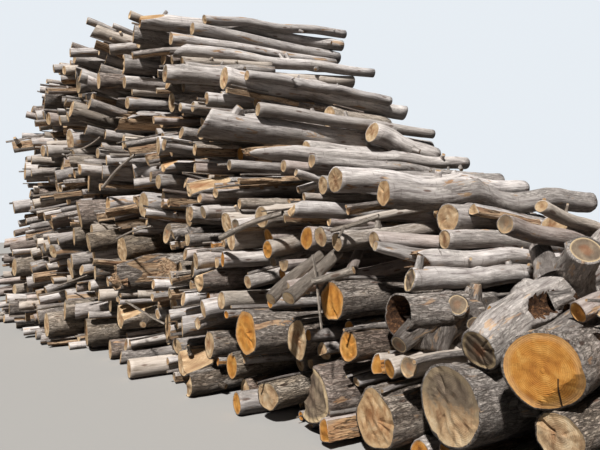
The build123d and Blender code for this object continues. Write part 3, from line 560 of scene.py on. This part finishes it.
def arm(log, values, dice):
    """One of a forked log's arms, where the solid has it."""
    along, length, root, tip, lean, turn = values
    collar = 0.35 * log.front_r / max(0.4, math.sin(math.radians(lean)))
    return limb(log.start + log.forward * (along / 1000), arm_direction(log, lean, turn),
                length / 1000, root / 2000, tip / 2000, collar, dice, around=44, step=0.02)


def on_bark(log, along, turn, lift=0.0):
    """A point on a log's bark and the way outwards there."""
    share = along / log.length
    outward = math.cos(turn) * log.side + math.sin(turn) * log.up
    heart = log.start + along * log.forward + log.rise_at(share) * log.bow_axis
    return heart + (log.radius_at(share) + lift) * outward, outward


# Meshes
def join_patches(name, patches, materials):
    """One mesh object from patches, each with the tone of its log."""
    points = np.concatenate([patch[0] for patch, _ in patches])
    points[:, 2] = np.maximum(points[:, 2], cad_box[0][2])
    places = np.concatenate([patch[3] for patch, _ in patches])
    rims = np.concatenate([patch[4] for patch, _ in patches])
    tones = np.concatenate([np.tile(tone, (len(patch[0]), 1)) for patch, tone in patches])
    starts = np.cumsum([0] + [len(patch[0]) for patch, _ in patches[:-1]])
    quads = np.concatenate([patch[1] + start for (patch, _), start in zip(patches, starts)])
    slots = np.concatenate([patch[2] for patch, _ in patches])
    keep = np.ones((len(quads), 4), bool)
    keep[quads[:, 1] == quads[:, 2], 2] = False
    sizes = keep.sum(axis=1)
    mesh = bpy.data.meshes.new(name)
    mesh.vertices.add(len(points))
    mesh.vertices.foreach_set("co", points.astype(np.float32).ravel())
    mesh.loops.add(int(sizes.sum()))
    mesh.loops.foreach_set("vertex_index", quads[keep].astype(np.int32))
    mesh.polygons.add(len(quads))
    loop_starts = np.concatenate([[0], np.cumsum(sizes)[:-1]])
    mesh.polygons.foreach_set("loop_start", loop_starts.astype(np.int32))
    mesh.polygons.foreach_set("material_index", slots.astype(np.int32))
    mesh.polygons.foreach_set("use_smooth", slots == BARK_SLOT)
    for label, kind, field, values in (("grain", "FLOAT_VECTOR", "vector", places),
                                       ("tone", "FLOAT_COLOR", "color", tones),
                                       ("rim", "FLOAT", "value", rims)):
        layer = mesh.attributes.new(label, kind, "POINT")
        layer.data.foreach_set(field, values.astype(np.float32).ravel())
    mesh.update(calc_edges=True)
    for material in materials:
        mesh.materials.append(material)
    return link(name, mesh)


def link(name, data):
    obj = bpy.data.objects.new(name, data)
    bpy.context.scene.collection.objects.link(obj)
    return obj


# Materials
def srgb(r, g, b):
    """A colour as seen on the screen (0-255) as the linear value that a shader takes."""
    return tuple((v / 255 / 12.92 if v / 255 <= 0.04045 else ((v / 255 + 0.055) / 1.055) ** 2.4)
                 for v in (r, g, b))


class Shading:
    """Short calls for building a material's node tree. Ramps and laid-over colours, stains and painted
    shade alike, take colours as seen.
    """

    def __init__(self, name, roughness):
        self.material = bpy.data.materials.new(name)
        self.material.use_nodes = True
        self.tree = self.material.node_tree
        self.shader = self.tree.nodes["Principled BSDF"]
        self.shader.inputs["Roughness"].default_value = roughness
        self.shader.inputs["Specular IOR Level"].default_value = 0.25

    def put(self, socket, value):
        if isinstance(value, bpy.types.NodeSocket):
            self.tree.links.new(value, socket)
        elif isinstance(value, tuple) and len(value) == 3 and len(socket.default_value) == 4:
            socket.default_value = (*value, 1)
        else:
            socket.default_value = value

    def node(self, kind, inputs=None, **settings):
        node = self.tree.nodes.new(kind)
        for key, value in settings.items():
            setattr(node, key, value)
        for key, value in (inputs or {}).items():
            self.put(node.inputs[key], value)
        return node

    def attribute(self, name, output="Vector"):
        return self.node("ShaderNodeAttribute", attribute_name=name).outputs[output]

    def vector(self, operation, a, b):
        return self.node("ShaderNodeVectorMath", {0: a, 1: b}, operation=operation).outputs[0]

    def noise(self, place, scale, detail, rough, distortion=0.0):
        """Noise over a place, with a scale along the grain and across it."""
        inputs = {"Vector": self.vector("MULTIPLY", place, scale), "Scale": 1.0, "Detail": detail,
                  "Roughness": rough, "Distortion": distortion}
        return self.node("ShaderNodeTexNoise", inputs).outputs["Fac"]

    def veins(self, *values):
        """Noise folded about its middle: near 0 along thin lines."""
        return self.math("ABSOLUTE", self.math("SUBTRACT", self.noise(*values), 0.5))

    def math(self, operation, a, b=0.0, clamp=False):
        return self.node("ShaderNodeMath", {0: a, 1: b}, operation=operation, use_clamp=clamp).outputs[0]

    def times(self, a, b):
        return self.math("MULTIPLY", a, b)

    def plus(self, a, b):
        return self.math("ADD", a, b)

    def step(self, value, low, high):
        """0 below low, 1 above high, smooth between. Low above high turns it round."""
        inputs = {0: value, 1: low, 2: high}
        return self.node("ShaderNodeMapRange", inputs, interpolation_type="SMOOTHSTEP").outputs[0]

    def ramp(self, value, *stops):
        node = self.node("ShaderNodeValToRGB", {0: value})
        elements = node.color_ramp.elements
        while len(elements) < len(stops):
            elements.new(0.5)
        for element, (position, colour) in zip(elements, stops):
            element.position = position
            element.color = (*srgb(*colour), 1)
        return node.outputs[0]

    def mix(self, factor, a, b, blend="MIX"):
        inputs = {0: factor, 6: a, 7: b}
        return self.node("ShaderNodeMix", inputs, data_type="RGBA", blend_type=blend).outputs[2]

    def stain_and_shade(self, colour, where, strength, stain_and_shade):
        """Another colour laid over a surface where a value is high. It lays stains, and painted shade on
        the bark's underside.
        """
        return self.mix(self.times(where, strength), colour, srgb(*stain_and_shade))

    def shade(self, colour, own, least, spread):
        """A colour darker or lighter from log to log."""
        level = self.plus(least, self.times(own, spread))
        grey = self.node("ShaderNodeCombineColor", {0: level, 1: level, 2: level}).outputs[0]
        return self.mix(1.0, colour, grey, "MULTIPLY")

    def split(self, vector):
        return self.node("ShaderNodeSeparateXYZ", {0: vector}).outputs

    def from_heart(self, parts):
        """The distance of a place from its log's heart."""
        squares = self.plus(self.math("POWER", parts[1], 2.0), self.math("POWER", parts[2], 2.0))
        return self.math("SQRT", squares)

    def log_inputs(self):
        """Grain place, that place moved on for each log, its tones and its own number."""
        grain = self.attribute("grain")
        tone = self.node("ShaderNodeAttribute", attribute_name="tone").outputs
        own = tone["Alpha"]
        every = self.node("ShaderNodeCombineXYZ", {0: own, 1: own, 2: own}).outputs[0]
        moved = self.vector("ADD", grain, self.vector("MULTIPLY", every, (37.0, 11.0, 23.0)))
        return grain, moved, self.split(tone["Color"]), own

    def finish(self, colour, height, strength, distance):
        self.put(self.shader.inputs["Base Color"], colour)
        inputs = {"Strength": strength, "Distance": distance, "Height": height}
        self.put(self.shader.inputs["Normal"], self.node("ShaderNodeBump", inputs).outputs[0])
        return self.material


def stretched(along, across):
    return along, across, across


def bark_material():
    """Pale smooth bark with fine streaks, or grey-brown fissured bark, as the log's first tone says. Its
    underside is darkened as painted shade.
    """
    s = Shading("bark", 0.88)
    grain, place, tones, own = s.log_inputs()
    streaks = s.noise(place, stretched(4.0, 34.0), 6, 0.68, 0.3)
    clouds = s.noise(place, stretched(1.6, 7.0), 4, 0.6)
    fine = s.noise(place, stretched(60.0, 160.0), 4, 0.7)
    bands = s.noise(place, stretched(46.0, 9.0), 3, 0.6)
    deep = s.veins(place, stretched(5.5, 30.0), 5, 0.6, 0.5)
    thin = s.veins(place, stretched(12.0, 78.0), 4, 0.6, 0.4)
    pale = s.ramp(streaks, (0.30, (108, 100, 97)), (0.45, (192, 184, 180)), (0.64, (232, 225, 220)))
    brown = s.ramp(streaks, (0.30, (82, 67, 54)), (0.48, (144, 126, 107)), (0.70, (190, 172, 150)))
    kind = s.math("ADD", tones[0], s.times(s.math("SUBTRACT", clouds, 0.5), 1.1), clamp=True)
    colour = s.mix(kind, pale, brown)
    colour = s.stain_and_shade(colour, s.step(clouds, 0.50, 0.68), 0.45, (230, 223, 217))
    colour = s.stain_and_shade(colour, s.step(clouds, 0.46, 0.30), 0.50, (90, 79, 72))
    colour = s.stain_and_shade(colour, s.step(bands, 0.60, 0.72), 0.40, (98, 84, 74))
    colour = s.stain_and_shade(colour, s.step(tones[1], 0.80, 0.92), 0.35, (150, 118, 100))
    colour = s.stain_and_shade(colour, s.step(tones[1], 0.30, 0.14), 0.40, (200, 180, 154))
    cells = {"Vector": s.vector("MULTIPLY", place, stretched(3.2, 11.0)), "Scale": 1.0}
    spots = s.node("ShaderNodeTexVoronoi", cells, feature="F1").outputs["Distance"]
    colour = s.stain_and_shade(colour, s.step(spots, 0.17, 0.08), 0.75, (92, 60, 44))
    peel = s.noise(place, stretched(2.6, 12.0), 5, 0.6, 0.6)
    bare = s.times(s.step(peel, 0.61, 0.66), s.step(tones[1], 0.2, 0.6))
    bare_wood = s.ramp(streaks, (0.3, (138, 98, 70)), (0.6, (204, 172, 138)))
    colour = s.mix(bare, colour, bare_wood)
    fissures = s.math("MAXIMUM", s.step(deep, 0.045, 0.0), s.times(s.step(thin, 0.05, 0.0), 0.6))
    rough = s.times(fissures, s.step(kind, 0.0, 0.7))
    depth = s.times(rough, s.math("SUBTRACT", 1.0, bare))
    colour = s.stain_and_shade(colour, depth, 0.72, (52, 42, 35))
    # Painted shade: the bark is darkened where it faces downwards, on the underside of each log.
    parts = s.split(grain)
    upwards = s.math("DIVIDE", parts[2], s.math("MAXIMUM", s.from_heart(parts), 0.002))
    colour = s.stain_and_shade(colour, s.step(upwards, 0.15, -0.75), 0.62, (62, 53, 46))
    colour = s.shade(colour, own, 0.76, 0.40)
    height = s.plus(streaks, s.times(fine, 0.35))
    height = s.math("SUBTRACT", height, s.plus(s.times(depth, 1.1), s.times(bare, 0.25)))
    return s.finish(colour, height, 1.0, 0.012)


def end_material():
    """Sawn ends: orange where fresh, else tan to grey, with rings, rays, a dark heart and a pale rim."""
    s = Shading("sawn_end", 0.8)
    grain, place, tones, own = s.log_inputs()
    parts = s.split(grain)
    rim = s.attribute("rim", "Fac")
    patch = s.noise(place, stretched(3.0, 13.0), 4, 0.6, 0.4)
    speck = s.noise(place, stretched(20.0, 90.0), 4, 0.7)
    saw = s.noise(place, (1.0, 150.0, 9.0), 3, 0.6)
    wobble = s.noise(place, stretched(0.0, 8.0), 3, 0.5)
    wave_number = 620.0
    wavy = s.plus(s.from_heart(parts), s.times(wobble, 0.035))
    rings = s.math("SINE", s.times(wavy, wave_number))
    turn = s.math("ARCTAN2", parts[1], parts[2])
    spokes = s.node("ShaderNodeCombineXYZ", {0: s.times(turn, 7.0), 1: s.times(rim, 0.8),
                                             2: s.times(own, 40.0)}).outputs[0]
    rays = s.noise(spokes, stretched(1.0, 1.0), 5, 0.7)
    fresh = s.ramp(patch, (0.28, (166, 104, 42)), (0.50, (196, 134, 60)), (0.74, (218, 164, 88)))
    tan = s.ramp(patch, (0.28, (142, 108, 78)), (0.50, (198, 166, 128)), (0.74, (236, 214, 178)))
    grey = s.ramp(patch, (0.28, (74, 64, 56)), (0.50, (112, 99, 84)), (0.74, (146, 130, 108)))
    colour = s.mix(s.step(tones[2], 0.45, 0.62), tan, fresh)
    oldest = s.step(tones[2], 0.05, 0.03)
    upper_part = s.step(s.plus(parts[2], s.times(patch, 0.4)), 0.12, 0.26)
    weathered = s.times(s.step(tones[2], 0.16, 0.08), s.math("MAXIMUM", oldest, upper_part))
    colour = s.mix(weathered, colour, grey)
    heart = s.step(s.plus(rim, s.times(patch, 0.5)), 0.75, 0.45)
    colour = s.stain_and_shade(colour, s.times(heart, s.step(own, 0.3, 0.8)), 0.45, (150, 90, 50))
    outer = s.plus(0.22, s.times(oldest, 0.40))
    colour = s.stain_and_shade(colour, s.step(rim, 0.72, 0.86), outer, (226, 200, 158))
    colour = s.stain_and_shade(colour, s.plus(s.times(rings, 0.5), 0.5), 0.13, (110, 66, 32))
    colour = s.stain_and_shade(colour, s.step(rays, 0.60, 0.75), 0.16, (130, 80, 44))
    split = s.times(s.step(rays, 0.30, 0.25), s.step(rim, 0.06, 0.2))
    colour = s.stain_and_shade(colour, split, 0.75, (56, 36, 22))
    colour = s.stain_and_shade(colour, s.step(speck, 0.52, 0.70), 0.22, (120, 88, 60))
    colour = s.stain_and_shade(colour, s.step(rim, 0.93, 0.985), 0.75, (70, 54, 42))
    colour = s.shade(colour, s.math("FRACT", s.times(own, 7.3)), 0.78, 0.36)
    height = s.plus(s.times(saw, 1.2), s.plus(s.times(speck, 0.6), s.times(rings, 0.12)))
    height = s.math("SUBTRACT", height, s.times(split, 1.5))
    return s.finish(colour, height, 0.8, 0.004)


def split_material():
    """Split and torn wood: long fibres from pale tan to red-brown, with dark clefts."""
    s = Shading("split_wood", 0.85)
    _, place, tones, _ = s.log_inputs()
    fibres = s.noise(place, stretched(5.0, 95.0), 6, 0.7, 0.2)
    broad = s.noise(place, stretched(2.0, 16.0), 4, 0.6, 0.5)
    dark = s.step(s.veins(place, stretched(3.0, 30.0), 4, 0.6, 0.3), 0.03, 0.0)
    tan = s.ramp(fibres, (0.30, (118, 90, 68)), (0.50, (178, 148, 118)), (0.70, (222, 198, 166)))
    fresh = s.ramp(fibres, (0.30, (160, 100, 50)), (0.50, (208, 146, 82)), (0.70, (236, 190, 128)))
    colour = s.mix(s.step(tones[2], 0.45, 0.9), tan, fresh)
    colour = s.stain_and_shade(colour, s.step(broad, 0.50, 0.66), 0.55, (128, 84, 60))
    colour = s.stain_and_shade(colour, s.step(broad, 0.46, 0.32), 0.60, (150, 136, 122))
    colour = s.stain_and_shade(colour, dark, 0.7, (50, 35, 26))
    return s.finish(colour, s.math("SUBTRACT", fibres, s.times(dark, 0.8)), 1.0, 0.012)


def rot_and_shade_material():
    """Rotten wood inside a hollow: dark brown and crumbly. The same dark colour is the painted shade of
    the orange butt's saw cut.
    """
    s = Shading("rotten_wood_and_cut_shade", 0.95)
    _, place, _, _ = s.log_inputs()
    crumbs = s.noise(place, stretched(28.0, 40.0), 6, 0.75, 0.5)
    colour = s.ramp(crumbs, (0.36, (26, 18, 13)), (0.54, (84, 58, 40)), (0.70, (160, 118, 82)))
    return s.finish(colour, crumbs, 1.0, 0.02)


# The heap
def characterise(log, dice, open_above):
    """Gives a log its age, bark and faults by where it lies in the heap, and returns its tone."""
    place = log.start - np.array(LAYOUT)
    log.near = float(np.linalg.norm(log.start - np.array(EYE)))
    log.bare = log.node in ARMS or open_above(log)
    big = log.size > BIG
    roughest = 0.25 if log.bare and place[2] > 1.5 else 0.6 if big else 0.42
    kind = dice.uniform(0.0, roughest)
    if big and place[2] < 1.6:
        kind = dice.uniform(0.45, 0.9)
    low_near = np.clip((place[0] - 4.3) / 1.5, 0, 1) * np.clip((1.45 - place[2]) / 0.4, 0, 1)
    newly_cut = dice.random() < 0.08 + 0.57 * low_near
    fresh = 0.6 + 0.4 * dice.random() if newly_cut else dice.uniform(0.06, 0.48)
    fresh = FRESH.get(log.node, fresh if place[0] > 4.0 or fresh < 0.5 else 0.5)
    log.ridges = dice.uniform(0.004, 0.009) * kind if big else 0.0
    ridge_width = 0.05
    log.ridge_count = 2 * int(math.tau * log.size / ridge_width / 2)
    log.tilt = None
    if not log.cuts and log.node not in CLEAN_ENDS and dice.random() < SLANTED_ENDS:
        log.tilt = (dice.uniform(0.03, 0.30 if log.size < 0.12 else 0.12), dice.uniform(0, math.tau))
    log.cracks = []
    if log.near < 5.0 and big and log.node != "orange_butt":
        log.cracks = [(dice.uniform(0, math.tau), dice.uniform(0.03, 0.07),
                       dice.uniform(0.006, 0.016), dice.uniform(0.05, 0.5))
                      for _ in range(dice.randint(2, 5))]
    log.splits = [(math.radians(turn), depth, reach) for turn, depth, reach in WEDGES.get(log.node, ())]
    settled = log.splits or big or log.node in ARMS or log.bare and place[2] > 1.9
    if not settled and dice.random() < SPLIT_LOGS:
        turn = math.radians(dice.uniform(80, 260))
        log.splits = [(turn, dice.uniform(0.15, 0.7), dice.uniform(0.3, 1.4))]
        if dice.random() < 0.45:
            turn += math.radians(dice.choice((-1, 1)) * dice.uniform(70, 110))
            log.splits.append((turn, dice.uniform(0.2, 0.7), dice.uniform(0.3, 1.0)))
    own = 0.2 if log.node == "weathered_butt" else dice.random()
    red = dice.random()
    known = log.node in ROUGHNESS
    return np.array([ROUGHNESS[log.node] if known else kind, 0.5 if known else red, fresh, own])


def stubs(log, dice):
    """Cut-off branches on a log's bark."""
    count = dice.choice((1, 2, 3, 4, 5) if log.bare else (0, 0, 0, 1))
    lean = dice.choice((-1, 1)) * dice.uniform(0.2, 0.9)
    found = []
    for _ in range(count):
        along = dice.uniform(0.12, 0.95) * (log.length if log.bare else 0.5)
        sunk = 0.3 * log.size
        foot, outward = on_bark(log, along, dice.uniform(0.1, math.pi + 0.9), -sunk)
        root = log.size * dice.uniform(0.13, 0.36)
        length = sunk + dice.uniform(0.012, 0.05) + 0.25 * log.size
        found.append(limb(foot, outward + lean * log.forward, length, root, root * 0.85, root * 0.9,
                          dice, around=10, step=0.02))
    return found


def thin_sticks(log, dice):
    """Thin sticks that lie beside a log and stand out of the face a little."""
    found = []
    if dice.random() < (0.50 if log.near > 5 else 0.25) and not log.bare:
        thick = dice.uniform(0.007, 0.022)
        turn = math.radians(dice.uniform(30, 150))
        foot, _ = on_bark(log, 0.5, turn, thick)
        tip, _ = on_bark(log, 0.0, turn + dice.uniform(-0.35, 0.35), thick * 1.3)
        length = float(np.linalg.norm(foot - tip)) + dice.uniform(-0.05, 0.11)
        found.append(limb(foot, tip - foot, length, thick * 1.2, thick * 0.8, 0, dice, around=8,
                          step=0.07, wander=0.03))
    return found


def burls(log, dice):
    """Lumps of root wood on the knotted trunk, and crumbled wood on the forked trunk."""
    found = []
    for along, turn, lean, length, root, tip in BURLS if log.node == "knotted_trunk" else ():
        foot, outward = on_bark(log, along, math.radians(turn), -0.10)
        found.append(limb(foot, outward + lean * log.forward, length, root, tip, 0.05, dice,
                          around=48, step=0.018, wander=0.12, lumps=0.13))
    for along, turn, lean in RUBBLE if log.node == "forked_trunk" else ():
        foot, outward = on_bark(log, along, math.radians(turn), -0.04)
        found.append(limb(foot, outward + lean * log.forward, dice.uniform(0.10, 0.17), 0.07, 0.03,
                          0, dice, around=30, step=0.012, wander=0.3, lumps=0.4, skin=ROT_AND_SHADE_SLOT))
    return found


def kerf_shade_strip(log):
    """Painted shade of the saw cut that stops short beside the notch of the orange butt: a dark strip
    laid just in front of the end face.
    """
    points = 9
    upward = np.linspace(*KERF_UP, points)
    proud = 0.0004
    patch = Patch()
    sides = []
    for across in KERF_ACROSS:
        depth = cap_height(log, np.full(points, across), upward) - proud
        spots = (log.start + depth[:, None] * log.forward + across * log.side
                 + upward[:, None] * log.up)
        sides.append(patch.add(spots, np.zeros((points, 3)), 0.5))
    left, right = sides
    patch.faces.append(np.stack([left[:-1], left[1:], right[1:], right[:-1]], -1))
    # The strip takes the rotten wood's dark colour as painted shade.
    patch.slots.append(np.full(points - 1, ROT_AND_SHADE_SLOT))
    return patch.done()


def loose_stick(foot, tip, thick, dice):
    """A stick between two places of part.py's layout. Its sawn end is at the foot."""
    foot, tip = np.array(foot), np.array(tip)
    around = 28 if thick > 0.035 else 10
    return limb(tip + np.array(LAYOUT), foot - tip, float(np.linalg.norm(tip - foot)), thick * 0.8,
                thick, 0, dice, around=around, step=0.03, wander=0.04)


def splinters(log, dice):
    """Long shards that stand out of a torn end, within the round that the whole log would have."""
    found = []
    least_depth = 0.04
    for _ in range(18 if log.node in TORN else 0):
        angle, share = dice.uniform(0, math.tau), dice.uniform(0.1, 0.92)
        across, upward = (log.front_r * share * turned for turned in (math.cos(angle), math.sin(angle)))
        depth = float(cap_height(log, np.array([across]), np.array([upward]))[0])
        if depth < least_depth:
            continue
        foot = log.start + (depth + 0.03) * log.forward + across * log.side + upward * log.up
        aim = (-log.forward + 0.08 * dice.uniform(-1, 1) * log.side
               + 0.08 * dice.uniform(-1, 1) * log.up)
        thick = log.front_r * dice.uniform(0.05, 0.17)
        length = 0.03 + depth * dice.uniform(0.25, 0.9)
        found.append(limb(foot, aim, length, thick, thick * 0.2, 0, dice, around=6, step=0.04,
                          wander=0.05, skin=SPLIT_SLOT))
    return found


def overhead_test():
    """A test that says whether a log has open air above most of its length."""
    points, corners, base = [], [], 0
    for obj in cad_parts.values():
        mesh = obj.data
        points.extend(vertex.co for vertex in mesh.vertices)
        corners.extend(tuple(base + v for v in triangle.vertices) for triangle in mesh.loop_triangles)
        base += len(mesh.vertices)
    tree = BVHTree.FromPolygons(points, corners)

    def open_above(log):
        tops = (on_bark(log, share * log.length, math.pi / 2, 0.02)[0]
                for share in (0.2, 0.4, 0.6, 0.8, 0.95))
        return sum(tree.ray_cast(Vector(top), Vector((0, 0, 1)))[0] is None for top in tops) >= 3
    return open_above


def dress(name, logs, materials, open_above):
    """Makes one piece that stands for all the logs of a node."""
    patches = []
    for number, log in enumerate(logs):
        dice = random.Random(f"{name} {number}")
        tone = characterise(log, dice, open_above)
        patches.append((tube(log, dice), tone))
        patches += [(arm(log, values, dice), tone) for values in ARMS.get(name, ())]
        grown = stubs(log, dice) + splinters(log, dice) + burls(log, dice)
        patches += [(piece, tone) for piece in grown]
        patches += [(kerf_shade_strip(log), tone)] if name == "orange_butt" else []
        stick_tone = np.array([dice.random() * 0.5, dice.random(), dice.random() * 0.5, dice.random()])
        patches += [(stick, stick_tone) for stick in thin_sticks(log, dice)]
    for number, values in enumerate(STICKS.get(name, ())):
        stick = loose_stick(*values, random.Random(f"stick {number}"))
        patches.append((stick, np.array(STICK_TONE)))
    piece = join_patches(f"{name}_wood", patches, materials)
    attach(piece, "root")
    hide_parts(name)
    "stacked_log" if "_course_" in name else "trunk"


def make_heap():
    materials = [bark_material(), end_material(), split_material(), rot_and_shade_material()]
    logs = {name: [Round(name, points, corners) for points, corners in node_islands(obj)]
            for name, obj in sorted(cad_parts.items())}
    open_above = overhead_test()
    for name in logs:
        dress(name, logs[name], materials, open_above)


# Floor, light and camera
def make_floor():
    """A floor that looks pale, but throws little light back on the heap."""
    level, reach = cad_box[0][2], 60
    mesh = bpy.data.meshes.new("floor")
    mesh.from_pydata([(x * reach, y * reach, level) for x, y in ((-1, -1), (1, -1), (1, 1), (-1, 1))],
                     [], [(0, 1, 2, 3)])
    paint = Shading("floor_paint", 0.9)
    rays = paint.node("ShaderNodeLightPath").outputs
    clear = paint.math("MAXIMUM", rays["Is Glossy Ray"], rays["Is Transmission Ray"])
    seen = paint.math("MAXIMUM", rays["Is Camera Ray"], clear)
    pale = paint.mix(seen, (0.11, 0.105, 0.10), (0.38, 0.37, 0.355))
    paint.put(paint.shader.inputs["Base Color"], pale)
    mesh.materials.append(paint.material)
    link("floor", mesh)


def make_sky():
    """Faint bluish light. The camera sees a pale backdrop instead."""
    world = bpy.data.worlds.new("studio")
    bpy.context.scene.world = world
    world.use_nodes = True
    tree = world.node_tree
    sky = tree.nodes["Background"]
    backdrop = tree.nodes.new("ShaderNodeBackground")
    for shader, colour, strength in ((sky, (0.72, 0.84, 1.0, 1), 0.06),
                                     (backdrop, (0.80, 0.85, 0.90, 1), 1.0)):
        shader.inputs["Color"].default_value = colour
        shader.inputs["Strength"].default_value = strength
    choice = tree.nodes.new("ShaderNodeMixShader")
    rays = tree.nodes.new("ShaderNodeLightPath")
    tree.links.new(rays.outputs["Is Camera Ray"], choice.inputs[0])
    tree.links.new(sky.outputs[0], choice.inputs[1])
    tree.links.new(backdrop.outputs[0], choice.inputs[2])
    tree.links.new(choice.outputs[0], tree.nodes["World Output"].inputs[0])


def make_sun():
    data = bpy.data.lights.new("key", "SUN")
    data.energy = 5.2
    data.angle = math.radians(3)
    data.color = (1.0, 0.985, 0.96)
    comes_from = Vector((0.38, -0.72, 1.05))
    link("key", data).rotation_euler = (-comes_from).to_track_quat("-Z", "Y").to_euler()


def make_camera():
    """Stands where the photo was taken, with its horizon 3 pixels off the middle."""
    data = bpy.data.cameras.new("camera")
    data.sensor_width = 36
    data.lens = 32.4
    data.shift_y = 3 / 600
    camera = link("camera", data)
    camera.location = EYE
    camera.rotation_euler = (math.radians(90), 0, math.radians(VIEW_YAW))
    bpy.context.scene.camera = camera
    bpy.context.scene.view_settings.view_transform = "Standard"


make_heap()
make_floor()
make_sky()
make_sun()
make_camera()
